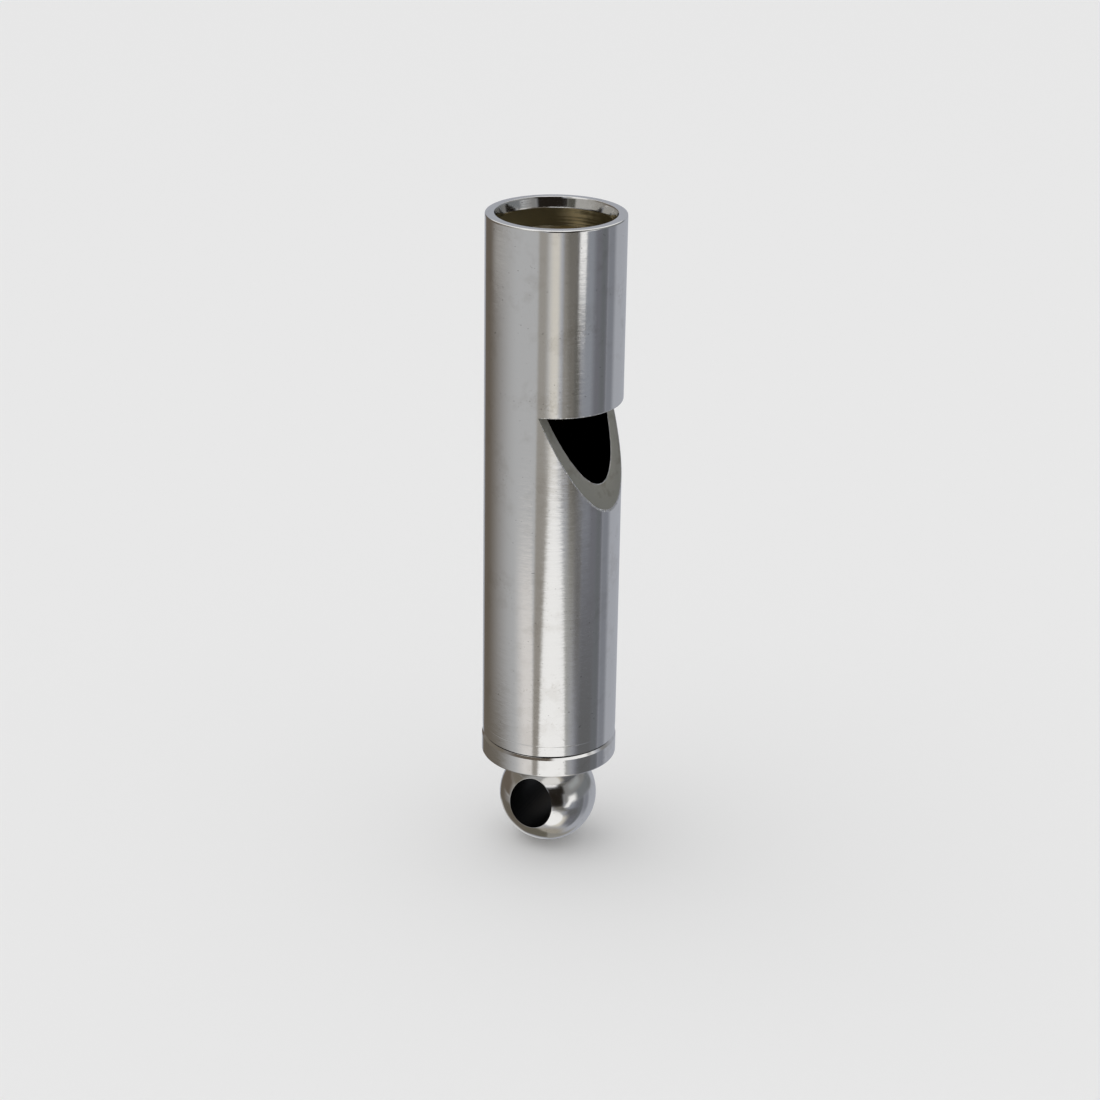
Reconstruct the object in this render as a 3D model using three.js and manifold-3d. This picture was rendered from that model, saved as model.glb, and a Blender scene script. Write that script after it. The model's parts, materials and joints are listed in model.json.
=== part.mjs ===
// Tube whistle with a swivelling lanyard ball.
// Lengths are millimetres. The origin is the middle of the ring hole in the ball.
// +Z runs up the tube to the mouth, and the window faces -Y.

import * as THREE from 'three';
import { mergeVertices } from 'three/addons/utils/BufferGeometryUtils.js';
import Module from 'manifold-3d';

const wasm = await Module();
wasm.setup();

// Body tube, drawn brass tube, plated outside
const tubeRadius = 6;
const tubeLength = 48;
const wallThickness = 1;
const mouthStep = 0.22; // how much wider the countersunk mouth is than the bore, at the rim
const mouthDepth = 0.95;
const rimOuterBreak = 0.15; // broken outer edge of the rim
const tubeFootBreak = 0.14; // upper half of the groove above the cap

// Window, a square ledge and a ramp that meets the bore in the labium
const ledgeDepth = 16.2; // from the rim down to the ledge
const windowLength = 9.2; // from the ledge down to the end of the ramp
const notchDepth = 3.95; // how far the ledge is cut in from the tube's outside

// Windway plug, pressed in between the mouth and the ledge
const plugRecess = 2.4; // from the rim down to the plug
const windwayEntry = 1.6; // height of the air slot at its upper end
const windwayExit = 1.1; // height of the air slot at the ledge
const plugEdgeBreak = 0.3;

// End cap, a turned flange with a spigot that is pressed into the tube
const flangeProud = 0.05; // how far the flange stands out past the tube
const flangeThickness = 1.85;
const flangeTopBreak = 0.2; // lower half of the groove
const flangeFootBreak = 0.16;
const spigotLength = 3.5;
const spigotLeadIn = 0.4;
const counterboreDepth = 1.6; // room for the washer and the riveted head

// Lanyard ball with its stud, turned in one piece
const ballRadius = 4.4;
const ballGap = 0.1; // from the ball's pole to the cap
const ringHoleWidth = 4.04;
const ringHoleHeight = 4.56; // the hole is a little oval
const ringHoleRise = 0.51; // its middle lies above the ball's middle
const ringHoleTurnDegrees = -81; // where the hole has swivelled to, seen from the window
const shoulderRadius = 2.1; // flat that bears on the cap
const studRadius = 1.5;
const headRadius = 2.15; // riveted end of the stud
const headHeight = 0.7;

// Washer under the riveted head
const washerRadius = 2.5;
const washerThickness = 0.4;

// Clearances
const pressGap = 0.05; // between pieces that are pressed together
const studPlay = 0.05; // radial, between the stud and what it turns in
const swivelPlay = 0.08; // along the axis, at the shoulder, the washer and the head
const counterborePlay = 0.3; // radial, round the washer
const overrun = 1; // how far a cutter runs past what it cuts

// Fineness of round surfaces
const roundSides = 96;
const ballSides = 56;
const ballRings = 26;
const washerSides = 48;
const holeSides = 48;
const headRings = 5;

// Radii that follow from the sizes
const boreRadius = tubeRadius - wallThickness;
const mouthRadius = boreRadius + mouthStep;
const pressedRadius = boreRadius - pressGap; // of the plug and of the cap's spigot
const flangeRadius = tubeRadius + flangeProud;

// Heights that follow from the sizes
const ballMiddle = -ringHoleRise;
const capFoot = ballMiddle + ballRadius + ballGap;
const tubeFoot = capFoot + flangeThickness + pressGap;
const spigotTop = flangeThickness + spigotLength;
const plugLength = ledgeDepth - plugRecess;
const counterboreFloor = spigotTop - counterboreDepth;
const washerFoot = counterboreFloor + swivelPlay;
const headFoot = washerFoot + washerThickness + swivelPlay;

// A closed three.js shape made into a solid that can be joined and cut
function solidFrom(geometry) {
  geometry.deleteAttribute('normal');
  geometry.deleteAttribute('uv');
  const merged = mergeVertices(geometry);
  const corners = merged.index.array;
  const kept = [];
  for (let i = 0; i < corners.length; i += 3) {
    const [a, b, c] = corners.slice(i, i + 3);
    if (a !== b && b !== c && c !== a) {
      kept.push(a, b, c);
    }
  }
  return new wasm.Manifold(new wasm.Mesh({
    numProp: 3,
    vertProperties: new Float32Array(merged.attributes.position.array),
    triVerts: new Uint32Array(kept),
  }));
}

// A finished solid turned back into a three.js geometry
function geometryFrom(solid) {
  const mesh = solid.getMesh();
  const geometry = new THREE.BufferGeometry();
  geometry.setAttribute('position', new THREE.BufferAttribute(mesh.vertProperties, 3));
  geometry.setIndex(new THREE.BufferAttribute(mesh.triVerts, 1));
  geometry.computeVertexNormals();
  return geometry;
}

// A profile of [radius, height] pairs turned about the Z axis
function turned(profile, sides) {
  const points = profile.map(([radius, height]) => new THREE.Vector2(radius, height));
  const geometry = new THREE.LatheGeometry(points, sides);
  geometry.rotateX(Math.PI / 2);
  return geometry;
}

// A profile that closes on itself, for a piece with a hole along its axis
function turnedRing(profile, sides) {
  return turned([...profile, profile[0]], sides);
}

// An outline of [distance towards the window, height] pairs, run across the tube
function acrossTube(outline, width) {
  const shape = new THREE.Shape(outline.map(([out, height]) => new THREE.Vector2(out, height)));
  const geometry = new THREE.ExtrudeGeometry(shape, { depth: width, bevelEnabled: false });
  geometry.translate(0, 0, -width / 2);
  const towardsWindow = new THREE.Vector3(0, -1, 0);
  const up = new THREE.Vector3(0, 0, 1);
  const across = new THREE.Vector3().crossVectors(towardsWindow, up);
  geometry.applyMatrix4(new THREE.Matrix4().makeBasis(towardsWindow, up, across));
  return geometry;
}

// An arc about a point on the axis, as [radius, height] pairs. Angles are from level, upwards.
function arc(radius, middle, fromAngle, toAngle, rings) {
  return Array.from({ length: rings + 1 }, (_, i) => {
    const angle = THREE.MathUtils.lerp(fromAngle, toAngle, i / rings);
    return [radius * Math.cos(angle), middle + radius * Math.sin(angle)];
  });
}

// The tube from its own foot at zero, bored, countersunk at the mouth and notched for the window
function bodyTube() {
  const barrel = solidFrom(turnedRing([
    [boreRadius, 0],
    [tubeRadius - tubeFootBreak, 0],
    [tubeRadius, tubeFootBreak],
    [tubeRadius, tubeLength - rimOuterBreak],
    [tubeRadius - rimOuterBreak, tubeLength],
    [mouthRadius, tubeLength],
    [boreRadius, tubeLength - mouthDepth],
  ], roundSides));
  const ledge = tubeLength - ledgeDepth;
  const notchRoot = tubeRadius - notchDepth;
  const pastWall = (notchDepth + overrun) / notchDepth;
  const cutter = solidFrom(acrossTube([
    [notchRoot, ledge],
    [notchRoot + notchDepth * pastWall, ledge - windowLength * pastWall],
    [notchRoot + notchDepth * pastWall, ledge],
  ], 2 * (tubeRadius + overrun)));
  return geometryFrom(barrel.subtract(cutter));
}

// The plug from its own foot at zero, with the tapered flat that leaves the windway
function windwayPlug() {
  const blank = solidFrom(turned([
    [0, 0],
    [pressedRadius, 0],
    [pressedRadius, plugLength - plugEdgeBreak],
    [pressedRadius - plugEdgeBreak, plugLength],
    [0, plugLength],
  ], roundSides));
  const taper = (windwayEntry - windwayExit) / plugLength;
  const flat = solidFrom(acrossTube([
    [boreRadius - windwayExit + taper * overrun, -overrun],
    [boreRadius + overrun, -overrun],
    [boreRadius + overrun, plugLength + overrun],
    [boreRadius - windwayEntry - taper * overrun, plugLength + overrun],
  ], 2 * (boreRadius + overrun)));
  return geometryFrom(blank.subtract(flat));
}

// The cap from its own foot at zero: flange, spigot, stud hole and counterbore
function endCap() {
  const holeRadius = studRadius + studPlay;
  const counterboreRadius = washerRadius + counterborePlay;
  return turnedRing([
    [holeRadius, 0],
    [flangeRadius - flangeFootBreak, 0],
    [flangeRadius, flangeFootBreak],
    [flangeRadius, flangeThickness - flangeTopBreak],
    [flangeRadius - flangeTopBreak, flangeThickness],
    [pressedRadius, flangeThickness],
    [pressedRadius, spigotTop - spigotLeadIn],
    [pressedRadius - spigotLeadIn, spigotTop],
    [counterboreRadius, spigotTop],
    [counterboreRadius, counterboreFloor],
    [holeRadius, counterboreFloor],
  ], roundSides);
}

// The ball about its own middle, with the shoulder, stud and riveted head above it
function lanyardBall() {
  const capUnderside = ballRadius + ballGap;
  const shoulderAngle = Math.acos(shoulderRadius / ballRadius);
  const headMiddle = capUnderside + headFoot;
  const domeRadius = (headRadius ** 2 + headHeight ** 2) / (2 * headHeight);
  const domeMiddle = headMiddle + headHeight - domeRadius;
  const domeAngle = Math.acos(headRadius / domeRadius);
  const bead = solidFrom(turned([
    ...arc(ballRadius, 0, -Math.PI / 2, shoulderAngle, ballRings),
    [shoulderRadius, capUnderside - swivelPlay],
    [studRadius, capUnderside - swivelPlay],
    [studRadius, headMiddle],
    ...arc(domeRadius, domeMiddle, domeAngle, Math.PI / 2, headRings),
  ], ballSides));
  const hole = new THREE.CylinderGeometry(
    ringHoleWidth / 2, ringHoleWidth / 2, 2 * (ballRadius + overrun), holeSides,
  );
  hole.scale(1, 1, ringHoleHeight / ringHoleWidth);
  hole.translate(0, 0, ringHoleRise);
  return geometryFrom(bead.subtract(solidFrom(hole)));
}

// The washer from its own foot at zero
function studWasher() {
  const holeRadius = studRadius + studPlay;
  return turnedRing([
    [holeRadius, 0],
    [washerRadius, 0],
    [washerRadius, washerThickness],
    [holeRadius, washerThickness],
  ], washerSides);
}

const platedTube = new THREE.MeshStandardMaterial({ color: 0xc4c2c0, roughness: 0.16, metalness: 1 });
const platedCap = new THREE.MeshStandardMaterial({ color: 0xc2bfbb, roughness: 0.2, metalness: 1 });
const platedBall = new THREE.MeshStandardMaterial({ color: 0xc0bebb, roughness: 0.12, metalness: 1 });
const turnedBrass = new THREE.MeshStandardMaterial({ color: 0xa58f5c, roughness: 0.35, metalness: 1 });
const zincSteel = new THREE.MeshStandardMaterial({ color: 0xb0b0ae, roughness: 0.4, metalness: 1 });

function piece(name, geometry, material, height) {
  const mesh = new THREE.Mesh(geometry, material);
  mesh.name = name;
  mesh.position.z = height;
  return mesh;
}

// What stays still in the hand
const whistleBody = new THREE.Group();
whistleBody.add(
  piece('body_tube', bodyTube(), platedTube, tubeFoot),
  piece('windway_plug', windwayPlug(), turnedBrass, tubeFoot + tubeLength - ledgeDepth),
  piece('end_cap', endCap(), platedCap, capFoot),
);

// What turns about the tube's axis
const swivelBall = new THREE.Group();
swivelBall.rotation.z = THREE.MathUtils.degToRad(ringHoleTurnDegrees);
swivelBall.add(
  piece('lanyard_ball', lanyardBall(), platedBall, ballMiddle),
  piece('stud_washer', studWasher(), zincSteel, capFoot + washerFoot),
);

const whistle = new THREE.Group();
whistle.add(whistleBody, swivelBall);

export default whistle;
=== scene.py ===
"""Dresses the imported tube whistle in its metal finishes, and sets it up in a small studio."""

import json
import math

import bmesh
import bpy
from bpy.props import FloatProperty, PointerProperty, StringProperty
from mathutils import Matrix, Vector


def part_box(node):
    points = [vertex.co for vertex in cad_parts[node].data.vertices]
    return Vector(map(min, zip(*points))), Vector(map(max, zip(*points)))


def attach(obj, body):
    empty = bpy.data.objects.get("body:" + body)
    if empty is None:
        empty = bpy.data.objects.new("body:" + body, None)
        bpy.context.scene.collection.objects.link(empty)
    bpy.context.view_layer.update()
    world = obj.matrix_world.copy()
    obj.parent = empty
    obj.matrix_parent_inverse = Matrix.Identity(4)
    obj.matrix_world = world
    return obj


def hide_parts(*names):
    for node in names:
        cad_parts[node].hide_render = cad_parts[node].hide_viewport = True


bl_info = {
    "name": "Tube Whistle",
    "version": (1, 0, 0),
    "blender": (4, 5, 0),
    "location": "View3D > Sidebar > Whistle",
    "description": "Builds a plated tube whistle with a swivelling lanyard ball",
    "category": "Object",
}

MM = 0.001

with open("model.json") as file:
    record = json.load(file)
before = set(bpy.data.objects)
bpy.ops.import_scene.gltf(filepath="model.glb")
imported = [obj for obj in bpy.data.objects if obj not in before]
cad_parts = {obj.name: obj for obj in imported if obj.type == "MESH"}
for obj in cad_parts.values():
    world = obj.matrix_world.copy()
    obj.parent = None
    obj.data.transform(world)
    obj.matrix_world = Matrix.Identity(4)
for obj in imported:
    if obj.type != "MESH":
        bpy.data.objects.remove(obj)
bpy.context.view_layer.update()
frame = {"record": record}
tube_low, tube_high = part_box("body_tube")
plug_low, plug_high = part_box("windway_plug")
cap_low, cap_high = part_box("end_cap")
ball_low, ball_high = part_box("lanyard_ball")
washer_low, washer_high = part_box("stud_washer")
ring_hole = next(mount for mount in frame["record"]["mounts"] if mount["name"] == "ring_hole")

# Steps round the tube from the middle of the window: to its corner, and on from there to the back
WINDOW_STEPS = 50
BACK_STEPS = 78
HALF_STEPS = WINDOW_STEPS + BACK_STEPS
TURNED_STEPS = 2 * HALF_STEPS

# Clearances and hidden sizes, the same as in the solids
PRESS_GAP = 0.05 * MM
STUD_PLAY = 0.05 * MM
SWIVEL_PLAY = 0.08 * MM
COUNTERBORE_PLAY = 0.3 * MM
COUNTERBORE_DEPTH = 1.6 * MM
HEAD_RADIUS = 2.15 * MM

# How deep the stud is sunk in the ball, as a share of the ball's radius from its middle
STUD_SINK = 0.72

# Points closer than this are one, and edges sharper than this stay sharp
WELD_DISTANCE = 2e-6
SHARP_ANGLE = math.radians(28)

# How near a face has to lie to a surface's exact normal to take it, as a cosine
SAME_NORMAL = 0.998

# Finishes of the body tube, in the order of its material slots
PLATED, BORED, CHAMBER, MILLED, BURR = range(5)


# Points, rows and skins

def at(radius, azimuth, height):
    """A point at an azimuth from the window, which faces -Y."""
    return Vector((radius * math.sin(azimuth), -radius * math.cos(azimuth), height))


def window_columns(corner):
    """Azimuths round the tube, with a column on each corner of the window."""
    def azimuth(step):
        if abs(step) <= WINDOW_STEPS:
            return corner * step / WINDOW_STEPS
        past = (abs(step) - WINDOW_STEPS) / BACK_STEPS
        return math.copysign(corner + (math.pi - corner) * past, step)
    return [azimuth(step) for step in range(-HALF_STEPS, HALF_STEPS)]


def turned_columns():
    """Even azimuths right round."""
    return [math.tau * step / TURNED_STEPS for step in range(TURNED_STEPS)]


def ring(azimuths, radius, height):
    """A row of points. Radius and height are one number, or one for each azimuth."""
    radii = radius if isinstance(radius, list) else [radius] * len(azimuths)
    heights = height if isinstance(height, list) else [height] * len(azimuths)
    return [at(r, a, z) for r, a, z in zip(radii, azimuths, heights)]


def mix(low, high, share):
    """A value between two, or a list of them."""
    if isinstance(low, list) or isinstance(high, list):
        lows = low if isinstance(low, list) else [low] * len(high)
        highs = high if isinstance(high, list) else [high] * len(lows)
        return [a + (b - a) * share for a, b in zip(lows, highs)]
    return low + (high - low) * share


def rounded(start, corner, end, steps=4):
    """A small rounded edge, as [radius, height] pairs from start to end."""
    points = []
    for step in range(steps + 1):
        t = step / steps
        points.append([
            (1 - t) ** 2 * start[i] + 2 * t * (1 - t) * corner[i] + t * t * end[i]
            for i in range(2)
        ])
    return points


def skin(bm, rows, finish=0, closed=True):
    """Quads between rows of points, with one finish or one for each gap between rows."""
    rings = [[bm.verts.new(point) for point in row] for row in rows]
    for gap, (low, high) in enumerate(zip(rings, rings[1:])):
        for i in range(len(low) if closed else len(low) - 1):
            j = (i + 1) % len(low)
            face = bm.faces.new((low[i], low[j], high[j], high[i]))
            face.material_index = finish[gap] if isinstance(finish, list) else finish
            face.smooth = True


def turn(bm, profile):
    """A profile of [radius, height] pairs turned about the Z axis."""
    azimuths = turned_columns()
    skin(bm, [ring(azimuths, radius, height) for radius, height in profile])


def mesh_object(bm, name, materials):
    """An object from a bmesh, with touching rows welded together and its sharp edges kept."""
    bmesh.ops.remove_doubles(bm, verts=bm.verts, dist=WELD_DISTANCE)
    mesh = bpy.data.meshes.new(name)
    bm.to_mesh(mesh)
    bm.free()
    mesh.set_sharp_from_angle(angle=SHARP_ANGLE)
    for material in materials:
        mesh.materials.append(material)
    piece = bpy.data.objects.new(name, mesh)
    bpy.context.scene.collection.objects.link(piece)
    return piece


def true_normals(mesh, surfaces):
    """Gives each corner the exact normal of the surface its face lies on, so that it mirrors cleanly."""
    normals = [Vector(corner.vector) for corner in mesh.corner_normals]
    for face in mesh.polygons:
        middle_normal = face.normal
        for corner in face.loop_indices:
            point = mesh.vertices[mesh.loops[corner].vertex_index].co
            for surface in surfaces:
                exact = surface(point)
                if exact is not None and abs(exact.dot(middle_normal)) > SAME_NORMAL:
                    normals[corner] = exact * math.copysign(1, exact.dot(middle_normal))
                    break
    mesh.normals_split_custom_set(normals)


def about_axis(point):
    """The normal of a cylinder about the Z axis."""
    outward = Vector((point.x, point.y, 0))
    return outward.normalized() if outward.length > 0.5 * MM else None


def dress(piece, body, slot, *nodes):
    """Puts a piece in the place of its CAD nodes, on their body."""
    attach(piece, body)
    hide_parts(*nodes)


# Colours and materials

def colour(code):
    """A linear colour from an sRGB hex code such as E4E2DE."""
    parts = [int(code[i:i + 2], 16) / 255 for i in (0, 2, 4)]
    return [p / 12.92 if p <= 0.04045 else ((p + 0.055) / 1.055) ** 2.4 for p in parts] + [1]


def add_node(tree, kind, inputs=None, **settings):
    """Adds a shader node with its settings.

    Inputs are values, sockets, or nodes, which are linked by their first output.
    """
    node = tree.nodes.new("ShaderNode" + kind)
    for name, value in settings.items():
        setattr(node, name, value)
    for name, value in (inputs or {}).items():
        if isinstance(value, bpy.types.Node):
            value = value.outputs[0]
        if isinstance(value, bpy.types.NodeSocket):
            tree.links.new(value, node.inputs[name])
        else:
            node.inputs[name].default_value = value
    return node


def new_material(name, **constants):
    """A material with a Principled shader. Constants name its inputs, with _ for a space."""
    material = bpy.data.materials.new(name)
    material.use_nodes = True
    tree = material.node_tree
    shader = tree.nodes["Principled BSDF"]
    for name, value in constants.items():
        shader.inputs[name.replace("_", " ").title()].default_value = value
    return material, tree, shader


def bright_plate(name, colours, draw_depth, roughness=(0.06, 0.12)):
    """Bright nickel and chrome plate over brass: a mirror with polish lines, ripples and a few dull spots."""
    plate, stain, pitted = colour(colours.plate), colour(colours.stain), colour(colours.pits)
    material, tree, shader = new_material(name, metallic=1, base_color=plate)
    place = add_node(tree, "TexCoord").outputs["Object"]
    # Polish lines run round the piece, 0.12 mm apart. The real ones are closer, a few hundredths of a
    # millimetre apart, and wouldn't show.
    around = add_node(tree, "Mapping", {"Vector": place, "Scale": (400, 400, 8000)})
    lines = add_node(tree, "TexNoise", {"Vector": around, "Scale": 1, "Detail": 3, "Roughness": 0.6})
    polish = add_node(tree, "Bump", {"Height": lines, "Distance": 0.001 * MM})
    # Ripples half a millimetre long, which fray the edges of what the plate mirrors
    frayed = add_node(tree, "Mapping", {"Vector": place, "Scale": (1300, 1300, 2200)})
    ripples = add_node(tree, "TexNoise", {"Vector": frayed, "Scale": 1, "Detail": 2})
    rippled = add_node(tree, "Bump", {"Height": ripples, "Distance": 0.0025 * MM, "Normal": polish})
    # Lines left lengthwise by the die that the tube was drawn through, half a millimetre apart
    lengthwise = add_node(tree, "Mapping", {"Vector": place, "Scale": (2000, 2000, 30)})
    drawn = add_node(tree, "TexNoise", {"Vector": lengthwise, "Scale": 1, "Detail": 1})
    finished = add_node(tree, "Bump", {"Height": drawn, "Distance": draw_depth, "Normal": rippled})
    # Dull spots, a tenth of a millimetre across, gathered in patches of some millimetres
    spots = add_node(tree, "TexNoise", {"Vector": place, "Scale": 4200, "Detail": 3})
    patches = add_node(tree, "TexNoise", {"Vector": place, "Scale": 300, "Detail": 1})
    gathered = add_node(tree, "Math", {0: spots, 1: patches}, operation="MULTIPLY")
    dull = add_node(tree, "MapRange", {"Value": gathered, "From Min": 0.37, "From Max": 0.47, "To Max": 0.2})
    # A faint brown haze, a millimetre across, in the same patches
    clouds = add_node(tree, "TexNoise", {"Vector": place, "Scale": 900, "Detail": 2})
    hazed = add_node(tree, "Math", {0: clouds, 1: patches}, operation="MULTIPLY")
    haze = add_node(tree, "MapRange", {"Value": hazed, "From Min": 0.28, "From Max": 0.42, "To Max": 0.12})
    spoiled = add_node(tree, "Math", {0: dull, 1: haze}, operation="MAXIMUM")
    # Dark pits and short scratches, a tenth of a millimetre long, scattered far apart
    scratches = add_node(tree, "Mapping", {"Vector": place, "Scale": (3200, 3200, 5200)})
    pits = add_node(tree, "TexNoise", {"Vector": scratches, "Scale": 1, "Detail": 1})
    pit = add_node(tree, "MapRange", {"Value": pits, "From Min": 0.74, "From Max": 0.8, "To Max": 0.4})
    tarnish = add_node(
        tree, "Mix", {"Factor": spoiled, "A": plate, "B": stain}, data_type="RGBA"
    )
    marked = add_node(
        tree, "Mix", {"Factor": pit, "A": tarnish.outputs["Result"], "B": pitted}, data_type="RGBA"
    )
    tree.links.new(marked.outputs["Result"], shader.inputs["Base Color"])
    rough = add_node(tree, "MapRange", {
        "Value": lines, "From Min": 0.3, "From Max": 0.7, "To Min": roughness[0], "To Max": roughness[1],
    })
    tree.links.new(rough.outputs[0], shader.inputs["Roughness"])
    tree.links.new(finished.outputs[0], shader.inputs["Normal"])
    return material


def turned_metal(name, base, dark, roughness, pitch, groove=0.005, painted_highlight_place=None):
    """Bare metal with the fine rings of a turning tool, darker where tarnish has settled.

    Pitch is the rings' spacing in metres, and groove their depth in millimetres. The last argument names a
    place on Y where the pale base colour is kept as a painted highlight, and how far from it the darker
    colour begins and is full, in millimetres. Away from that place the darker colour is painted shade as well
    as tarnish.
    """
    material, tree, shader = new_material(name, metallic=1, roughness=roughness)
    place = add_node(tree, "TexCoord").outputs["Object"]
    rings = add_node(tree, "Mapping", {"Vector": place, "Scale": (60, 60, 1 / pitch)})
    tool = add_node(tree, "TexNoise", {"Vector": rings, "Scale": 1, "Detail": 2})
    clouds = add_node(tree, "TexNoise", {"Vector": place, "Scale": 500, "Detail": 3})
    blend = add_node(tree, "Math", {0: tool, 1: clouds}, operation="MULTIPLY")
    share = add_node(tree, "MapRange", {"Value": blend, "From Min": 0.15, "From Max": 0.3})
    # The pale base colour kept near a place on Y is a painted highlight; away from it the darker colour is
    # painted shade as well as tarnish.
    if painted_highlight_place:
        middle, near, far = (value * MM for value in painted_highlight_place)
        depth = add_node(tree, "SeparateXYZ", {"Vector": place}).outputs["Y"]
        offset = add_node(tree, "Math", {0: depth, 1: middle}, operation="SUBTRACT")
        distance = add_node(tree, "Math", {0: offset}, operation="ABSOLUTE")
        painted_highlight_share = add_node(tree, "MapRange", {
            "Value": distance, "From Min": near, "From Max": far, "To Min": 1, "To Max": 0,
        }, interpolation_type="SMOOTHSTEP")
        share = add_node(tree, "Math", {0: share, 1: painted_highlight_share}, operation="MULTIPLY")
    tint = add_node(tree, "Mix", {"Factor": share, "A": colour(dark), "B": colour(base)}, data_type="RGBA")
    tree.links.new(tint.outputs["Result"], shader.inputs["Base Color"])
    bump = add_node(tree, "Bump", {"Height": tool, "Distance": groove * MM})
    tree.links.new(bump.outputs[0], shader.inputs["Normal"])
    return material


def milled_face(name, base, stain):
    """Faces left by a cutter and then plated: matt, with very fine grain and a few browned patches."""
    material, tree, shader = new_material(name, metallic=1)
    place = add_node(tree, "TexCoord").outputs["Object"]
    grain = add_node(tree, "TexNoise", {"Vector": place, "Scale": 6000, "Detail": 3, "Roughness": 0.7})
    rough = add_node(tree, "MapRange", {"Value": grain, "To Min": 0.42, "To Max": 0.6})
    bump = add_node(tree, "Bump", {"Height": grain, "Strength": 0.2, "Distance": 0.02 * MM})
    patches = add_node(tree, "TexNoise", {"Vector": place, "Scale": 900, "Detail": 4})
    share = add_node(tree, "MapRange", {"Value": patches, "From Min": 0.52, "From Max": 0.7, "To Max": 0.5})
    tint = add_node(tree, "Mix", {"Factor": share, "A": colour(base), "B": colour(stain)}, data_type="RGBA")
    tree.links.new(tint.outputs["Result"], shader.inputs["Base Color"])
    tree.links.new(rough.outputs[0], shader.inputs["Roughness"])
    tree.links.new(bump.outputs[0], shader.inputs["Normal"])
    return material


def bright_burr(name, base):
    """Cut edges with a fine burr that was plated over: uneven and bright, so that they glint in places."""
    material, tree, shader = new_material(name, metallic=1, base_color=colour(base), roughness=0.2)
    place = add_node(tree, "TexCoord").outputs["Object"]
    torn = add_node(tree, "TexNoise", {"Vector": place, "Scale": 3000, "Detail": 2})
    bump = add_node(tree, "Bump", {"Height": torn, "Distance": 0.25 * MM})
    tree.links.new(bump.outputs[0], shader.inputs["Normal"])
    return material


# Properties

class WhistleSizes(bpy.types.PropertyGroup):
    """Sizes of the whistle that its CAD boxes don't give."""

    wall: FloatProperty(
        name="Wall", description="Thickness of the tube's wall",
        default=1 * MM, unit="LENGTH",
    )
    mouth_step: FloatProperty(
        name="Mouth Step", description="How much wider the rim of the mouth is than the bore, on the radius",
        default=0.22 * MM, unit="LENGTH",
    )
    mouth_depth: FloatProperty(
        name="Mouth Depth", description="Depth of the countersunk part of the mouth",
        default=0.95 * MM, unit="LENGTH",
    )
    notch_depth: FloatProperty(
        name="Window Depth", description="How far the window's ledge is cut in from the outside",
        default=3.95 * MM, unit="LENGTH",
    )
    window_length: FloatProperty(
        name="Window Length", description="From the ledge down to the end of the ramp",
        default=9.2 * MM, unit="LENGTH",
    )
    window_break: FloatProperty(
        name="Window Edge Break", description="Width of the broken edges round the window",
        default=0.065 * MM, unit="LENGTH",
    )
    windway_entry: FloatProperty(
        name="Windway Entry", description="Height of the air slot at its upper end",
        default=1.6 * MM, unit="LENGTH",
    )
    windway_exit: FloatProperty(
        name="Windway Exit", description="Height of the air slot at the ledge",
        default=1.1 * MM, unit="LENGTH",
    )
    flange_thickness: FloatProperty(
        name="Flange Thickness", description="Height of the cap's rim that shows below the tube",
        default=1.85 * MM, unit="LENGTH",
    )
    ring_hole_rise: FloatProperty(
        name="Ring Hole Rise", description="How far the ring hole's middle lies above the ball's middle",
        default=0.51 * MM, unit="LENGTH",
    )
    ring_hole_width: FloatProperty(
        name="Ring Hole Width", description="Width of the oval hole across the ball",
        default=4.04 * MM, unit="LENGTH",
    )
    ring_hole_height: FloatProperty(
        name="Ring Hole Height", description="Height of the oval hole across the ball",
        default=4.56 * MM, unit="LENGTH",
    )
    shoulder_radius: FloatProperty(
        name="Shoulder Radius", description="Radius of the ball's shoulder under the cap",
        default=2.1 * MM, unit="LENGTH",
    )
    stud_radius: FloatProperty(
        name="Stud Radius", description="Radius of the stud that the ball turns on",
        default=1.5 * MM, unit="LENGTH",
    )


class WhistleColours(bpy.types.PropertyGroup):
    """Colours of the whistle's metals, as sRGB hex codes."""

    plate: StringProperty(name="Plate", description="Bright plate on tube, cap and ball", default="E8E7E5")
    stain: StringProperty(name="Stain", description="Dull spots in the plate", default="9A917F")
    pits: StringProperty(name="Pits", description="Dark pits and scratches in the plate", default="2A241C")
    milled: StringProperty(name="Milled Faces", description="Matt cut faces of the window", default="C3C1B7")
    # The plug's colours: the paler one is a lit copy of brass, so that it shows in the shaded mouth, and also
    # makes a painted highlight; the darker one is tarnish and painted shade.
    brass: StringProperty(
        name="Brass", description="Turned brass of the plug, paler than brass is, to show in the dark mouth",
        default="FFF8E8",
    )
    brass_dark: StringProperty(name="Brass Tarnish", description="Tarnish on the plug", default="8E7C52")
    # The bore's colours are painted light: the paler one is a lit copy of brass, so that the shaded mouth
    # shows, and the darker one is tarnish and painted shade.
    bore: StringProperty(
        name="Bore", description="Brass inside the mouth, paler than brass is, to show in the dark",
        default="F4E8C4",
    )
    bore_dark: StringProperty(name="Bore Tarnish", description="Tarnish inside the mouth", default="80785E")
    # The chamber's colours are a shaded copy of brass: darker than brass as painted shade, since the chamber
    # is lit only through the window.
    chamber: StringProperty(
        name="Chamber", description="Brass inside the chamber, darker than brass is", default="32281A"
    )
    chamber_dark: StringProperty(
        name="Chamber Tarnish", description="Tarnish inside the chamber", default="14100A"
    )
    # The ring hole's colours are near black as painted shade: the inside of the hole is dark from shade
    # alone.
    ring_hole_shade: StringProperty(
        name="Ring Hole", description="Dark unplated bore of the ring hole", default="1A1713"
    )
    ring_hole_shade_dark: StringProperty(
        name="Ring Hole Tarnish", description="Tarnish inside the ring hole", default="0E0C0A"
    )
    zinc: StringProperty(name="Zinc", description="Zinc plate of the washer", default="B8B8B6")
    zinc_dark: StringProperty(name="Zinc Tarnish", description="Tarnish on the washer", default="8A8A88")


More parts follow.
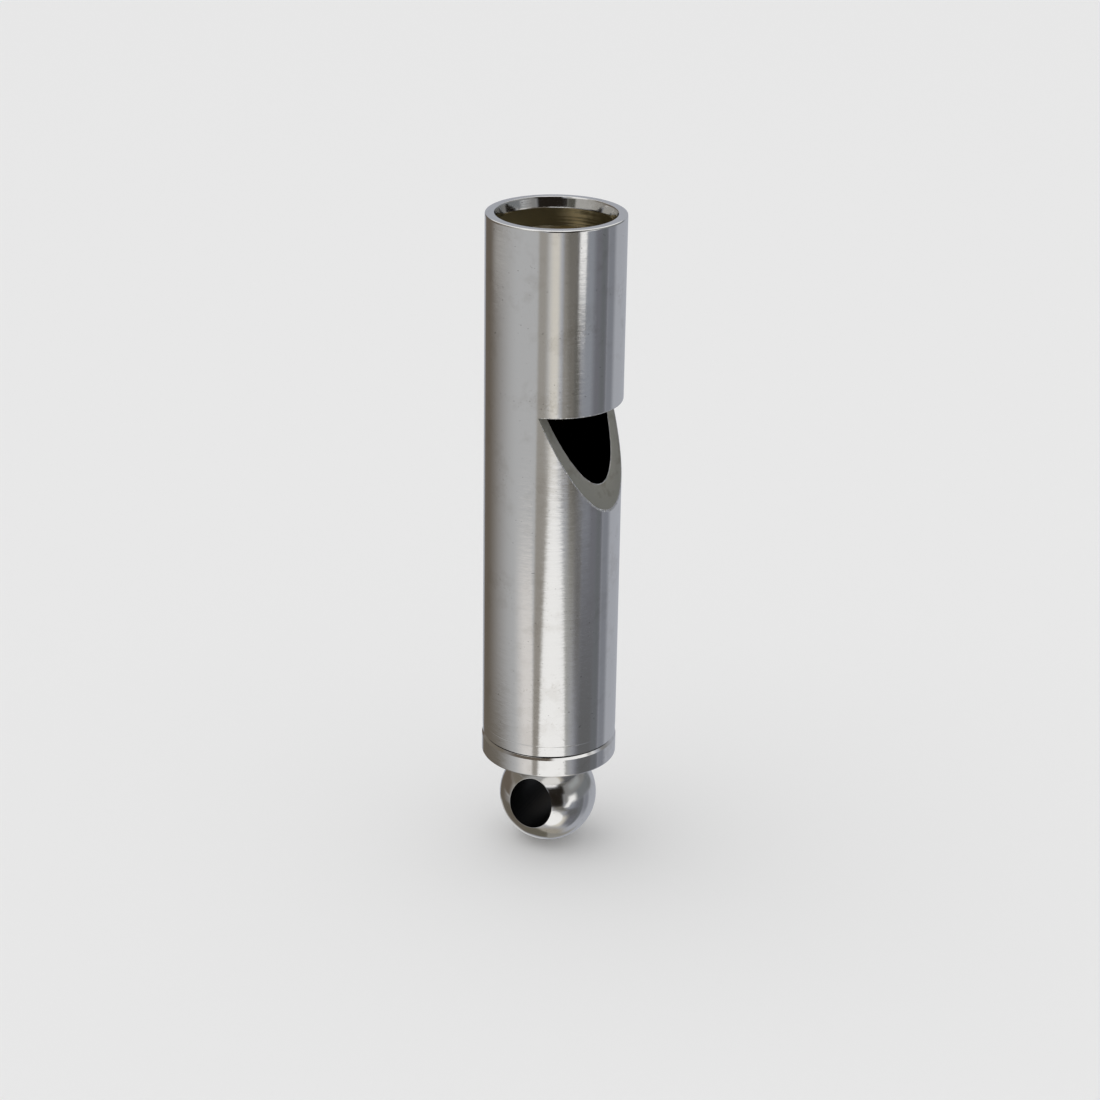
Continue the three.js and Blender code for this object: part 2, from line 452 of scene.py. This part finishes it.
class WhistleStudio(bpy.types.PropertyGroup):
    """The camera's place and the studio round the whistle."""

    camera_azimuth: FloatProperty(
        name="Camera Azimuth", description="Where the camera stands, from the window round the tube",
        default=math.radians(-57.6), subtype="ANGLE",
    )
    camera_distance: FloatProperty(
        name="Camera Distance", description="From the tube's axis to the camera, level",
        default=206.58 * MM, unit="LENGTH",
    )
    camera_rise: FloatProperty(
        name="Camera Rise", description="How far the camera stands above the mouth",
        default=54.76 * MM, unit="LENGTH",
    )
    camera_turn: FloatProperty(
        name="Camera Turn", description="How far the camera looks past the tube's axis",
        default=math.radians(0.036), subtype="ANGLE",
    )
    camera_pitch: FloatProperty(
        name="Camera Pitch", description="How far the camera looks down",
        default=math.radians(22.432), subtype="ANGLE",
    )
    camera_roll: FloatProperty(
        name="Camera Roll", description="How far the camera leans",
        default=math.radians(0.846), subtype="ANGLE",
    )
    focal_length: FloatProperty(
        name="Focal Length", description="Lens, in millimetres on a 36 mm sensor",
        default=83.055,
    )
    backdrop: StringProperty(name="Backdrop", description="Colour of the background", default="E6E6E6")
    floor: StringProperty(name="Floor", description="Colour of the floor", default="EAEAEA")


# Tube

def tube_mesh(sizes):
    """The body tube: bored, countersunk at the mouth and notched for the window."""
    radius, foot, top = tube_high.x, tube_low.z, tube_high.z
    bore = radius - sizes.wall
    mouth = bore + sizes.mouth_step
    root = radius - sizes.notch_depth
    ledge = plug_low.z
    slope = sizes.window_length / sizes.notch_depth
    outer = window_columns(math.acos(root / radius))
    inner = window_columns(math.acos(root / bore))
    steps = [abs(step) for step in range(-HALF_STEPS, HALF_STEPS)]
    in_window = slice(BACK_STEPS, BACK_STEPS + 2 * WINDOW_STEPS + 1)

    # The broken edges run out to nothing in the last steps before the window's corners
    run_out = 4
    breaks = [sizes.window_break * min(1, max(0, WINDOW_STEPS - step) / run_out) for step in steps]
    # Shares of the edge break: along the bore at the ramp, and outwards on the ledge
    bore_share, ledge_share = 0.6, 0.35
    # Gaps between rows: below the window, above it, and down the countersink
    low_gaps, high_gaps, cone_gaps = 24, 12, 6

    def ramp(r, azimuths):
        radii = r if isinstance(r, list) else [r] * len(azimuths)
        return [
            ledge - (q * math.cos(a) - root) * slope if step < WINDOW_STEPS else ledge
            for q, a, step in zip(radii, azimuths, steps)
        ]

    def shifted(values, offsets, sign):
        base = values if isinstance(values, list) else [values] * len(offsets)
        return [value + sign * offset for value, offset in zip(base, offsets)]

    outer_lip = shifted(ramp(radius, outer), breaks, -1)
    inner_lip = shifted(ramp(bore, inner), breaks, -bore_share)
    ledge_high = shifted(ledge, breaks, 1)

    bm = bmesh.new()
    # Lower part, outside: the foot, a fine line turned round above it, and the wall up to the window
    groove = 0.14 * MM
    taper = 0.02 * MM
    line = foot + 1.1 * MM
    line_half = 0.05 * MM
    line_depth = 0.012 * MM
    low_rows = [
        ring(outer, bore, foot),
        ring(outer, radius - taper - groove, foot),
        ring(outer, radius - taper, foot + groove),
        ring(outer, radius, line - line_half),
        ring(outer, radius - line_depth, line),
        ring(outer, radius, line + line_half),
    ]
    wall_foot = line + line_half
    for row in range(1, low_gaps + 1):
        low_rows.append(ring(outer, radius, mix(wall_foot, outer_lip, row / low_gaps)))
    skin(bm, low_rows, PLATED)
    # Lower part, inside
    inside = [ring(inner, bore, mix(inner_lip, foot, row / low_gaps)) for row in range(low_gaps + 1)]
    skin(bm, inside, CHAMBER)

    # Upper part, from the ledge up outside, over the rim and down inside
    rim_out, rim_in = 0.15 * MM, 0.03 * MM
    high_rows = [
        ring(outer, radius, mix(ledge_high, top - rim_out, row / high_gaps)) for row in range(high_gaps + 1)
    ]
    high_rows += [
        ring(outer, r, z)
        for r, z in rounded((radius, top - rim_out), (radius, top), (radius - rim_out, top))
    ][1:]
    step_height = top - sizes.mouth_depth
    high_rows += [
        ring(inner, r, z)
        for r, z in rounded((mouth + rim_in, top), (mouth, top), (mouth - 0.3 * rim_in, top - rim_in), 2)
    ]
    high_rows += [
        ring(inner, mix(mouth, bore, row / cone_gaps), mix(top, step_height, row / cone_gaps))
        for row in range(1, cone_gaps + 1)
    ]
    mouth_end = len(high_rows) - 1
    high_rows += [
        ring(inner, bore, mix(step_height, ledge_high, row / high_gaps)) for row in range(1, high_gaps + 1)
    ]
    finishes = [PLATED if gap < mouth_end else BORED for gap in range(len(high_rows) - 1)]
    skin(bm, high_rows, finishes)

    # The ramp, from its outer edge in to the labium
    ramp_outer = shifted(radius, breaks, -1)
    ramp_inner = shifted(bore, breaks, bore_share)
    ramp_rows = [
        ring(outer, radius, outer_lip),
        ring(outer, ramp_outer, ramp(ramp_outer, outer)),
        ring(inner, ramp_inner, ramp(ramp_inner, inner)),
        ring(inner, bore, inner_lip),
    ]
    skin(bm, [row[in_window] for row in ramp_rows], [BURR, MILLED, BURR], closed=False)
    # The ledge, from the bore out to the wall
    ledge_rows = [
        ring(inner, bore, ledge_high),
        ring(inner, shifted(bore, breaks, 1), ledge),
        ring(outer, shifted(radius, breaks, -ledge_share), ledge),
        ring(outer, radius, ledge_high),
    ]
    skin(bm, [row[in_window] for row in ledge_rows], [BURR, MILLED, BURR], closed=False)
    return bm


class WHISTLE_OT_body_tube(bpy.types.Operator):
    """Build the plated body tube with its mouth and window."""

    bl_idname = "whistle.body_tube"
    bl_label = "Body Tube"

    def execute(self, context):
        colours = context.scene.whistle_colours
        materials = [
            bright_plate("bright_plate_on_drawn_tube", colours, 0.0019 * MM),
            # Bored brass inside the mouth: a painted highlight round Y 0.6 mm on the bore, and painted shade
            # with tarnish away from it.
            turned_metal(
                "bored_brass_painted_highlight", colours.bore, colours.bore_dark,
                0.6, 0.12 * MM, 0.02, (0.6, 0.2, 2.4),
            ),
            # The chamber inside is painted shade: its colours are darker than brass.
            turned_metal(
                "bored_chamber_painted_shade", colours.chamber, colours.chamber_dark, 0.4, 0.12 * MM, 0.02
            ),
            milled_face("matt_plate_on_milled_faces", colours.milled, colours.stain),
            bright_burr("bright_plate_on_burred_edges", colours.plate),
        ]
        sizes = context.scene.whistle_sizes
        piece = mesh_object(tube_mesh(sizes), "tube_body", materials)

        def countersunk(point):
            """The normal of the cone at the mouth."""
            if point.z < tube_high.z - 1.001 * sizes.mouth_depth:
                return None
            outward = Vector((point.x, point.y, 0)).normalized()
            return Vector((0, 0, -sizes.mouth_step)) + outward * sizes.mouth_depth

        true_normals(piece.data, [about_axis, countersunk])
        dress(piece, "whistle_body", "plated_tube", "body_tube")
        return {"FINISHED"}


# Plug

def plug_mesh(sizes):
    """The windway plug: a turned rod with a tapered flat that leaves the air slot."""
    radius, foot, top = plug_high.y, plug_low.z, plug_high.z
    bore = tube_high.x - sizes.wall
    chamfer = 0.3 * MM

    def row(height, r):
        share = (height - foot) / (top - foot)
        flat = bore - mix(sizes.windway_exit, sizes.windway_entry, share)
        corner = math.acos(flat / r)
        azimuths = window_columns(corner)
        radii = [
            flat / math.cos(a) if abs(step) < WINDOW_STEPS else r
            for a, step in zip(azimuths, range(-HALF_STEPS, HALF_STEPS))
        ]
        return ring(azimuths, radii, height)

    edge = rounded((radius, top - chamfer), (radius - 0.12 * MM, top - 0.05 * MM), (radius - chamfer, top))
    sides = [(mix(foot, top - chamfer, step / 8), radius) for step in range(8)] + [(z, r) for r, z in edge]
    rows = [row(height, r) for height, r in sides]
    middle_low, middle_high = Vector((0, 0, foot)), Vector((0, 0, top))
    shares = [0, 0.3, 0.6, 0.85, 1]
    rows = [[middle_low.lerp(point, share) for point in rows[0]] for share in shares[:-1]] + rows
    rows += [[middle_high.lerp(point, share) for point in rows[-1]] for share in reversed(shares[:-1])]
    bm = bmesh.new()
    skin(bm, rows)
    return bm


class WHISTLE_OT_windway_plug(bpy.types.Operator):
    """Build the turned brass plug that leaves the air slot."""

    bl_idname = "whistle.windway_plug"
    bl_label = "Windway Plug"

    def execute(self, context):
        colours = context.scene.whistle_colours
        # A painted highlight round Y 4.5 mm gives the lit crescent of the plug's face; away from it the plug
        # has the darker colour, as painted shade and tarnish.
        brass = turned_metal(
            "turned_brass_plug", colours.brass, colours.brass_dark, 0.58, 0.12 * MM, 0.005, (4.5, 1, 3)
        )
        piece = mesh_object(plug_mesh(context.scene.whistle_sizes), "plug_in_windway", [brass])
        true_normals(piece.data, [about_axis])
        dress(piece, "whistle_body", "turned_brass", "windway_plug")
        return {"FINISHED"}


# Cap

def cap_mesh(sizes):
    """The end cap: a flange that shows, and a spigot with a counterbore inside the tube."""
    radius, foot, top = cap_high.x, cap_low.z, cap_high.z
    flange_top = foot + sizes.flange_thickness
    spigot = tube_high.x - sizes.wall - PRESS_GAP
    hole = sizes.stud_radius + STUD_PLAY
    counterbore = washer_high.y + COUNTERBORE_PLAY
    counterbore_floor = top - COUNTERBORE_DEPTH
    foot_break, top_break, lead_in, hole_break = 0.16 * MM, 0.2 * MM, 0.4 * MM, 0.1 * MM
    profile = [[hole, foot + hole_break], [hole + hole_break, foot], [mix(hole, radius, 0.5), foot]]
    profile += rounded((radius - foot_break, foot), (radius, foot), (radius, foot + foot_break), 5)
    profile += [
        [radius, flange_top - top_break],
        [radius - top_break, flange_top],
        [spigot, flange_top],
        [spigot, top - lead_in],
        [spigot - lead_in, top],
        [counterbore, top],
        [counterbore, counterbore_floor],
        [hole, counterbore_floor],
        [hole, foot + hole_break],
    ]
    bm = bmesh.new()
    turn(bm, profile)
    return bm


class WHISTLE_OT_end_cap(bpy.types.Operator):
    """Build the turned end cap."""

    bl_idname = "whistle.end_cap"
    bl_label = "End Cap"

    def execute(self, context):
        plate = bright_plate("bright_plate_on_turned_cap", context.scene.whistle_colours, 0)
        piece = mesh_object(cap_mesh(context.scene.whistle_sizes), "cap_on_foot", [plate])
        true_normals(piece.data, [about_axis])
        dress(piece, "whistle_body", "plated_cap", "end_cap")
        return {"FINISHED"}


# Ball

def ball_sizes(sizes):
    """The ball's radius, its middle and the direction of its ring hole."""
    middle = Vector((0, 0, -sizes.ring_hole_rise))
    radius = middle.z - ball_low.z
    return radius, middle, Vector(ring_hole["axis"]).normalized()


def ball_mesh(sizes):
    """The ball, skinned over its outside from one mouth of the ring hole to the other, and back inside."""
    radius, _, along = ball_sizes(sizes)
    rise = sizes.ring_hole_rise
    half_width, half_height = sizes.ring_hole_width / 2, sizes.ring_hole_height / 2
    edge = 0.07 * MM
    up = Vector((0, 0, 1))
    across = up.cross(along)
    turns = 144
    skin_steps, hole_steps = 64, 16

    def section(angle):
        """Pairs of distance from the hole's axis and place along it, at an angle from straight up."""
        reach = math.hypot(half_height * math.sin(angle), half_width * math.cos(angle))
        hole = half_width * half_height / reach
        circle_middle = -rise * math.cos(angle)
        circle_radius = math.sqrt(radius ** 2 - (rise * math.sin(angle)) ** 2)

        def on_circle(distance):
            return math.sqrt(circle_radius ** 2 - (distance - circle_middle) ** 2)

        edge_place = on_circle(hole)
        start = math.atan2(on_circle(hole + edge), hole + edge - circle_middle)
        arc = [start - 2 * start * step / skin_steps for step in range(skin_steps + 1)]
        points = [
            [circle_middle + circle_radius * math.cos(a), circle_radius * math.sin(a)] for a in arc
        ]
        leaving = rounded(points[-1], (hole, -edge_place), (hole, -edge_place + edge), 3)
        inside = [
            [hole, mix(-edge_place + edge, edge_place - edge, step / hole_steps)]
            for step in range(1, hole_steps)
        ]
        coming = rounded((hole, edge_place - edge), (hole, edge_place), points[0], 3)
        return points[:-1] + leaving + inside + coming

    columns = []
    for turn_step in range(turns):
        angle = math.tau * turn_step / turns
        outward = up * math.cos(angle) + across * math.sin(angle)
        columns.append([outward * distance + along * place for distance, place in section(angle)])
    rows = [list(row) for row in zip(*columns)]
    gaps = len(rows) - 1
    finishes = [1 if skin_steps + 1 <= gap < gaps - 1 else 0 for gap in range(gaps)]
    bm = bmesh.new()
    skin(bm, rows, finishes)
    return bm


def stud_mesh(sizes):
    """The shoulder, stud and riveted head that stand on the ball."""
    radius, middle, _ = ball_sizes(sizes)
    shoulder = sizes.shoulder_radius
    shoulder_top = cap_low.z - SWIVEL_PLAY
    shoulder_break = 0.1 * MM
    buried = middle.z + radius * STUD_SINK
    head_foot = washer_high.z + SWIVEL_PLAY
    head_top = ball_high.z
    profile = [[0, buried], [shoulder, buried]]
    profile += rounded(
        (shoulder, shoulder_top - shoulder_break),
        (shoulder, shoulder_top),
        (shoulder - shoulder_break, shoulder_top),
        3,
    )
    profile += [[sizes.stud_radius, shoulder_top], [sizes.stud_radius, head_foot], [HEAD_RADIUS, head_foot]]
    profile += [
        [HEAD_RADIUS * math.cos(a), head_foot + (head_top - head_foot) * math.sin(a)]
        for a in (math.radians(10 * step) for step in range(2, 10))
    ]
    bm = bmesh.new()
    turn(bm, profile)
    return bm


def united(piece, other):
    """Joins another closed object into a piece, and removes the other."""
    union = piece.modifiers.new("union", "BOOLEAN")
    union.object = other
    union.operation = "UNION"
    union.solver = "EXACT"
    depsgraph = bpy.context.evaluated_depsgraph_get()
    joined = bpy.data.meshes.new_from_object(piece.evaluated_get(depsgraph))
    piece.modifiers.clear()
    piece.data = joined
    bpy.data.objects.remove(other)


class WHISTLE_OT_lanyard_ball(bpy.types.Operator):
    """Build the cross-drilled ball with its stud."""

    bl_idname = "whistle.lanyard_ball"
    bl_label = "Lanyard Ball"

    def execute(self, context):
        sizes, colours = context.scene.whistle_sizes, context.scene.whistle_colours
        materials = [
            bright_plate("bright_plate_on_turned_ball", colours, 0, (0.1, 0.15)),
            # The ring hole's bore is painted shade: near black inside.
            turned_metal("drilled_bore_painted_shade", colours.ring_hole_shade, colours.ring_hole_shade_dark, 0.5, 0.1 * MM),
        ]
        piece = mesh_object(ball_mesh(sizes), "ball_for_lanyard", materials)
        united(piece, mesh_object(stud_mesh(sizes), "stud", materials[:1]))
        piece.data.set_sharp_from_angle(angle=SHARP_ANGLE)
        radius, middle, along = ball_sizes(sizes)

        def on_ball(point):
            outward = point - middle
            return outward.normalized() if abs(outward.length - radius) < 0.004 * MM else None

        across = Vector((0, 0, 1)).cross(along)
        half_width, half_height = sizes.ring_hole_width / 2, sizes.ring_hole_height / 2

        def in_hole(point):
            side, height = point.dot(across) / half_width, point.z / half_height
            if abs(math.hypot(side, height) - 1) > 0.002:
                return None
            return (across * (side / half_width) + Vector((0, 0, height / half_height))).normalized()

        true_normals(piece.data, [on_ball, in_hole, about_axis])
        dress(piece, "swivel_ball", "plated_ball", "lanyard_ball")
        return {"FINISHED"}


# Washer

class WHISTLE_OT_stud_washer(bpy.types.Operator):
    """Build the washer under the riveted head."""

    bl_idname = "whistle.stud_washer"
    bl_label = "Stud Washer"

    def execute(self, context):
        hole = context.scene.whistle_sizes.stud_radius + STUD_PLAY
        radius, foot, top = washer_high.y, washer_low.z, washer_high.z
        edge = 0.04 * MM
        profile = [[hole, foot]]
        profile += rounded((radius - edge, foot), (radius, foot), (radius, foot + edge), 2)
        profile += rounded((radius, top - edge), (radius, top), (radius - edge, top), 2)
        profile += [[hole, top], [hole, foot]]
        bm = bmesh.new()
        turn(bm, profile)
        colours = context.scene.whistle_colours
        zinc = turned_metal(
            "zinc_plated_steel_washer", colours.zinc, colours.zinc_dark, 0.4, 0.15 * MM
        )
        piece = mesh_object(bm, "washer_on_stud", [zinc])
        true_normals(piece.data, [about_axis])
        dress(piece, "swivel_ball", "zinc_steel", "stud_washer")
        return {"FINISHED"}


# Stage

# Cards round the whistle, from back to front, that only its metal sees. They aren't a plain studio: they were
# fitted to the reflections in one photograph, and most of the colours were computed from that photograph's.
# From any other side they fall in other places. Directions are in degrees: azimuth from the camera's side,
# then elevation. Each edge has a softness, and a lean turns a card's sides by elevation.
# name, colour, left, softness, right, softness, foot, softness, head, softness, lean
CARDS = [
    ("dark ceiling", "696158", -130, 8, 24, 10, 44, 8, 95, 4, 0),
    ("skylight", "FFFFFF", 10, 9, 114, 8, 40, 4, 75, 8, 0),
    ("pale ceiling behind on the left", "FFFFFF", -190, 1, -125, 10, 28, 4, 80, 6, 0),
    ("pale ceiling behind on the right", "FFFFFF", 125, 10, 190, 1, 28, 4, 80, 6, 0),
    ("fill on the left", "B7B8BA", -140, 30, -6, 8, -95, 4, -6, 8, 0),
    ("pale wall on the left", "AEADAA", -128, 10, -18, 6, -6, 6, 36, 6, 0),
    ("brown cloth", "686057", -156, 4, -98, 40, -95, 4, 12, 12, 0),
    ("head of the brown cloth", "777168", -150, 10, -78, 8, 10, 5, 44, 6, 0),
    ("lamp above the pale wall", "FFFFFF", -62, 5, -30, 4, 20, 2, 40, 4, 0),
    ("pale strip on the left", "BBBAB8", -118, 12, -80, 20, -16, 1.2, -15.2, 0.7, 0),
    ("shade above the pale strip", "685F56", -150, 8, -100, 7, -13.8, 0.8, 9, 5, 0),
    ("foot of the brown cloth", "69635A", -158, 5, -78, 26, -95, 4, -26.3, 1.5, 0),
    ("pale edge behind the brown cloth", "D0D0D0", -179, 4, -150, 9, -50, 4, -29.5, 1.5, 0),
    ("reflector on the left", "E3E0DE", -62, 12, -37.2, 2.5, -36, 6, -22.6, 1.5, -1.6),
    ("gap between cards", "9E9B96", -27, 3, -12, 5, -45, 12, -6, 6, 0),
    ("olive cloth", "98948E", -27, 3, -2, 6, -45, 12, -20.2, 0.8, 0),
    ("warm card", "DAD6CE", -8, 7, 7.5, 5, -20.6, 1, -12, 3, 0),
    ("grey edge of the warm card", "908D88", 13, 3.5, 30, 4, -20.6, 1, -12, 3, 0),
    ("dark card", "75726D", 24, 5, 46, 5, -24.5, 1.5, -6, 4, -1.3),
    ("grey cloth on the right", "868686", 36, 6, 124, 10, -8, 6, 33.5, 2.5, 0),
    ("pale patch on the cloth", "9FA2A3", 58, 8, 98, 10, 18, 6, 30, 4, 0),
    ("dark canopy", "5B5853", 29, 6, 90, 8, 33.5, 2.5, 45, 2, 0),
    ("hem of the grey cloth", "777A7D", 58, 5, 136, 6, -9, 4, 11, 3, 0),
    ("gap above the dark block", "FFFFFF", -18, 4, 26, 4, 35.5, 2, 46, 3, 0),
    ("dark block", "221E1A", -12, 3, 37, 3, -12, 3, 35, 2, 0),
    ("shoulder of the dark block", "221E1A", 22, 4, 43, 4, 15, 3, 34, 2, 0),
    ("bar across the dark block", "221E1A", -21, 2, 0, 3, 5, 2, 14, 1.5, 0),
    ("end of the bar", "55544E", -36, 2, -21, 2, 5, 2, 14, 2, 0),
    ("flag on the right", "717279", 44, 14, 94, 3, -62, 8, -9, 5, 0),
    ("slope of the flag", "8F939B", 46, 8, 66, 7, -21.5, 3, -9, 5, 0),
    ("foot of the flag", "646567", 50, 8, 80, 8, -40, 8, -24.5, 2, 0),
    ("fold in the flag", "6A6D71", 80, 6, 90, 4, -62, 9, -9, 5, 0),
    ("step of the flag", "83868E", 94, 3, 112, 6, -40, 12, -9, 5, 0),
    ("side of the dark card", "62615D", 33, 3, 41, 3, -21, 1, -17, 1, 0),
    ("near edge of the flag", "6E6D6D", 40, 4, 51, 4, -25.5, 1.5, -21.5, 0.6, 0),
    ("cream cloth beside the reflector", "DDD8CC", 5, 10, 50, 12, -66, 8, -38, 6, 0),
    ("shade beside the reflector", "A5A5A2", 18, 4, 35, 11, -36, 6, -22.4, 1.6, 0),
    ("strip lamp", "FFFFFF", 35, 2, 47, 2, -16.9, 0.55, 3, 3, 0.85),
    ("middle of the strip lamp", "FFFFFF", 50, 5, 70, 7, -8, 4, 6, 4, 0),
    ("floor below", "A09B91", -190, 1, 190, 1, -95, 4, -70, 8, 0),
    ("dark floor on the left", "666258", -184, 6, -50, 14, -95, 4, -60, 6, 0),
    ("dark floor behind on the right", "908E88", 135, 14, 190, 1, -95, 4, -53, 5, 0),
]
# The elevation at which a leaning card stands at its own azimuth
LEAN_LEVEL = -20
# What shows between the cards
OPEN_STUDIO = "AAADB5"
# A round white reflector that lies below the camera, fitted in the same way: azimuth, elevation, half width,
# half height, softness, lean
ROUND_REFLECTOR = (8.4, -42, 31.8, 21.5, 0.05, -0.2)


def studio_world(studio):
    """A plain pale backdrop for every ray but glossy ones, which see the fitted cards instead."""
    world = bpy.data.worlds.new("studio_surroundings")
    world.use_nodes = True
    tree = world.node_tree
    tree.nodes.clear()
    direction = add_node(tree, "TexCoord").outputs["Generated"]
    turned = add_node(
        tree, "VectorRotate", {"Vector": direction, "Angle": -studio.camera_azimuth}, rotation_type="Z_AXIS"
    )
    parts = add_node(tree, "SeparateXYZ", {"Vector": turned})
    front = add_node(tree, "Math", {0: parts.outputs["Y"], 1: -1}, operation="MULTIPLY")
    azimuth_radians = add_node(tree, "Math", {0: parts.outputs["X"], 1: front}, operation="ARCTAN2")
    azimuth = add_node(tree, "Math", {0: azimuth_radians}, operation="DEGREES")
    elevation_radians = add_node(tree, "Math", {0: parts.outputs["Z"]}, operation="ARCSINE")
    elevation = add_node(tree, "Math", {0: elevation_radians}, operation="DEGREES")

    def edge(value, place, softness, rising):
        sign = 1 if rising else -1
        return add_node(tree, "MapRange", {
            "Value": value,
            "From Min": place - sign * softness,
            "From Max": place + sign * softness,
        }, interpolation_type="SMOOTHSTEP")

    def over(below, mask, above):
        return add_node(
            tree, "Mix", {"Factor": mask, "A": below, "B": above}, data_type="RGBA"
        ).outputs["Result"]

    def leaned(lean, level):
        """Azimuths for a card whose sides turn by lean for each degree above a level."""
        if not lean:
            return azimuth
        above = add_node(tree, "Math", {0: elevation, 1: level}, operation="SUBTRACT")
        offset = add_node(tree, "Math", {0: above, 1: lean}, operation="MULTIPLY")
        return add_node(tree, "Math", {0: azimuth, 1: offset}, operation="SUBTRACT")

    mirrored = colour(OPEN_STUDIO)
    for _, code, left, left_soft, right, right_soft, foot, foot_soft, head, head_soft, lean in CARDS:
        place = leaned(lean, LEAN_LEVEL)
        mask = edge(place, left, left_soft, True)
        for value, edge_place, softness, rising in (
            (place, right, right_soft, False),
            (elevation, foot, foot_soft, True),
            (elevation, head, head_soft, False),
        ):
            side = edge(value, edge_place, softness, rising)
            mask = add_node(tree, "Math", {0: mask, 1: side}, operation="MULTIPLY")
        mirrored = over(mirrored, mask, colour(code))

    middle_azimuth, middle_elevation, half_width, half_height, softness, lean = ROUND_REFLECTOR
    squares = []
    for value, middle, half in (
        (leaned(lean, middle_elevation), middle_azimuth, half_width),
        (elevation, middle_elevation, half_height),
    ):
        offset = add_node(tree, "Math", {0: value, 1: middle}, operation="SUBTRACT")
        share = add_node(tree, "Math", {0: offset, 1: half}, operation="DIVIDE")
        squares.append(add_node(tree, "Math", {0: share, 1: 2}, operation="POWER"))
    total = add_node(tree, "Math", {0: squares[0], 1: squares[1]}, operation="ADD")
    distance = add_node(tree, "Math", {0: total}, operation="SQRT")
    mirrored = over(mirrored, edge(distance, 1, softness, False), colour("FFFFFF"))

    # Only glossy rays see the cards, so the metal doesn't mirror the backdrop that lights the rest
    glossy_ray = add_node(tree, "LightPath").outputs["Is Glossy Ray"]
    shown = over(colour(studio.backdrop), glossy_ray, mirrored)
    background = add_node(tree, "Background", {"Color": shown, "Strength": 1})
    add_node(tree, "OutputWorld", {"Surface": background})
    world.cycles.sampling_method = "NONE"
    return world


def plain_floor(studio):
    """A matt painted floor that the ball touches. The plate mirrors the cards in its place."""
    half = 3.0  # metres, far past the frame
    mesh = bpy.data.meshes.new("floor")
    corners = [(-half, -half), (half, -half), (half, half), (-half, half)]
    mesh.from_pydata([(x, y, ball_low.z) for x, y in corners], [], [(0, 1, 2, 3)])
    floor = bpy.data.objects.new("floor", mesh)
    bpy.context.scene.collection.objects.link(floor)
    paint = new_material("matt_floor_paint", roughness=0.9, base_color=colour(studio.floor))[0]
    mesh.materials.append(paint)
    floor.visible_glossy = False


def studio_camera(studio):
    """The camera, at the photograph's viewing angle."""
    camera = bpy.data.objects.new("camera", bpy.data.cameras.new("camera"))
    camera.data.lens = studio.focal_length
    camera.data.sensor_width = 36
    camera.data.clip_start = 0.01
    heading = studio.camera_azimuth + studio.camera_turn
    looking = (
        Matrix.Rotation(heading, 4, "Z")
        @ Matrix.Rotation(math.radians(90) - studio.camera_pitch, 4, "X")
        @ Matrix.Rotation(studio.camera_roll, 4, "Z")
    )
    place = at(studio.camera_distance, studio.camera_azimuth, tube_high.z + studio.camera_rise)
    camera.matrix_world = Matrix.Translation(place) @ looking
    bpy.context.scene.collection.objects.link(camera)
    bpy.context.scene.camera = camera


class WHISTLE_OT_studio(bpy.types.Operator):
    """Set up the camera, the floor, the lamp and the surroundings."""

    bl_idname = "whistle.studio"
    bl_label = "Studio"

    def execute(self, context):
        studio = context.scene.whistle_studio
        studio_camera(studio)
        plain_floor(studio)
        context.scene.world = studio_world(studio)
        lamp = bpy.data.objects.new("soft_lamp", bpy.data.lights.new("soft_lamp", "SUN"))
        lamp.data.energy = 0.7
        lamp.data.angle = math.radians(70)
        lamp.rotation_euler = (math.radians(-20), math.radians(-12), 0)
        lamp.visible_glossy = False
        context.scene.collection.objects.link(lamp)
        context.scene.view_settings.view_transform = "Standard"
        return {"FINISHED"}


# Panel and main

OPERATORS = [
    WHISTLE_OT_body_tube,
    WHISTLE_OT_windway_plug,
    WHISTLE_OT_end_cap,
    WHISTLE_OT_lanyard_ball,
    WHISTLE_OT_stud_washer,
    WHISTLE_OT_studio,
]


class WHISTLE_PT_panel(bpy.types.Panel):
    """Lists the whistle's settings and the operators that build it."""

    bl_label = "Tube Whistle"
    bl_idname = "WHISTLE_PT_panel"
    bl_space_type = "VIEW_3D"
    bl_region_type = "UI"
    bl_category = "Whistle"

    def draw(self, context):
        for group in (
            context.scene.whistle_sizes, context.scene.whistle_colours, context.scene.whistle_studio
        ):
            box = self.layout.box()
            for name in group.__annotations__:
                box.prop(group, name)
        for operator in OPERATORS:
            self.layout.operator(operator.bl_idname)


GROUPS = [WhistleSizes, WhistleColours, WhistleStudio]


def register():
    for kind in GROUPS + OPERATORS + [WHISTLE_PT_panel]:
        bpy.utils.register_class(kind)
    bpy.types.Scene.whistle_sizes = PointerProperty(type=WhistleSizes)
    bpy.types.Scene.whistle_colours = PointerProperty(type=WhistleColours)
    bpy.types.Scene.whistle_studio = PointerProperty(type=WhistleStudio)


def unregister():
    del bpy.types.Scene.whistle_studio
    del bpy.types.Scene.whistle_colours
    del bpy.types.Scene.whistle_sizes
    for kind in reversed(GROUPS + OPERATORS + [WHISTLE_PT_panel]):
        bpy.utils.unregister_class(kind)


def main():
    register()
    bpy.ops.whistle.body_tube()
    bpy.ops.whistle.windway_plug()
    bpy.ops.whistle.end_cap()
    bpy.ops.whistle.lanyard_ball()
    bpy.ops.whistle.stud_washer()
    bpy.ops.whistle.studio()


if __name__ == "__main__":
    main()
